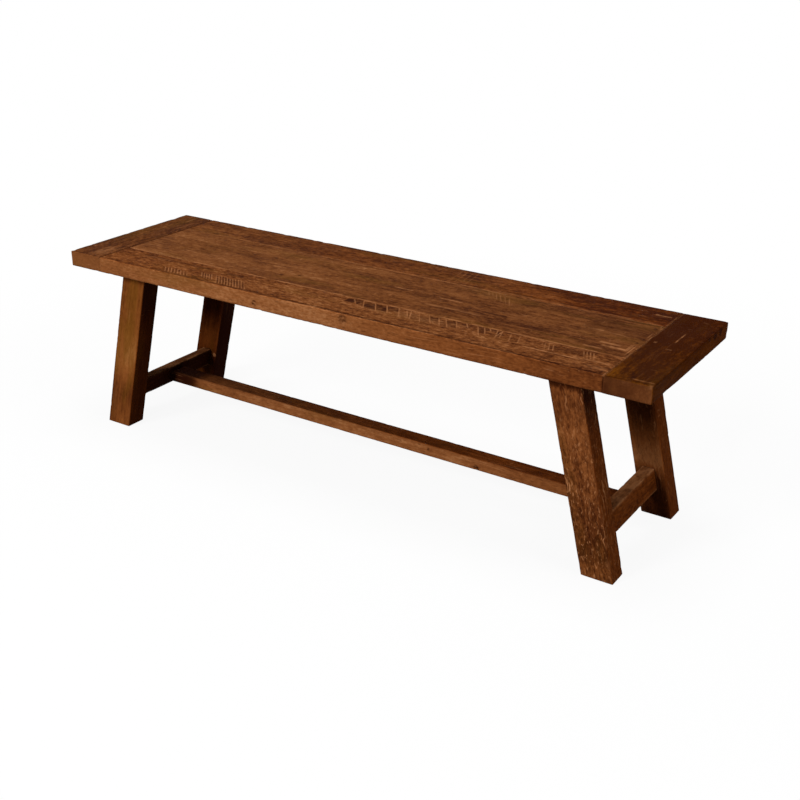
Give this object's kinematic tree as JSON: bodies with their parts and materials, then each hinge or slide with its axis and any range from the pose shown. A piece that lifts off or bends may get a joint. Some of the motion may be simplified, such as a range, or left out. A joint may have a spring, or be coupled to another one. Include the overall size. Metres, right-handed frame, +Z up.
{
  "type": "rustic trestle dining bench",
  "caption": "Backless plank bench with breadboard ends on splayed legs, tied by low end stretchers and a long stretcher.",
  "frame": {"origin": "on the floor, under the middle of the seat", "axes": "+X along the bench's length, +Y from the front edge to the back edge, +Z up"},
  "size_m": [1.5, 0.41, 0.45],
  "materials": {
    "seat_wood": "worn reddish-brown stain with a low waxed sheen",
    "frame_wood": "rough-sawn wood under the same stain",
    "peg_wood": "plain hardwood, unstained inside the joints",
    "zinc_steel": "zinc-plated"
  },
  "bodies": {
    "root": {"seat_board_front": "seat_wood", "seat_board_middle": "seat_wood", "seat_board_back": "seat_wood", "breadboard_left": "seat_wood", "breadboard_right": "seat_wood", "leg_front_left": "frame_wood", "leg_front_right": "frame_wood", "leg_back_left": "frame_wood", "leg_back_right": "frame_wood", "end_stretcher_left": "frame_wood", "end_stretcher_right": "frame_wood", "long_stretcher": "frame_wood", "leg_bearer_left": "frame_wood", "leg_bearer_right": "frame_wood", "middle_batten": "frame_wood", "breadboard_pegs": "peg_wood", "leg_dowels": "peg_wood", "bearer_bolts": "zinc_steel", "seat_inserts": "zinc_steel", "batten_screws": "zinc_steel"}
  },
  "joints": []
}
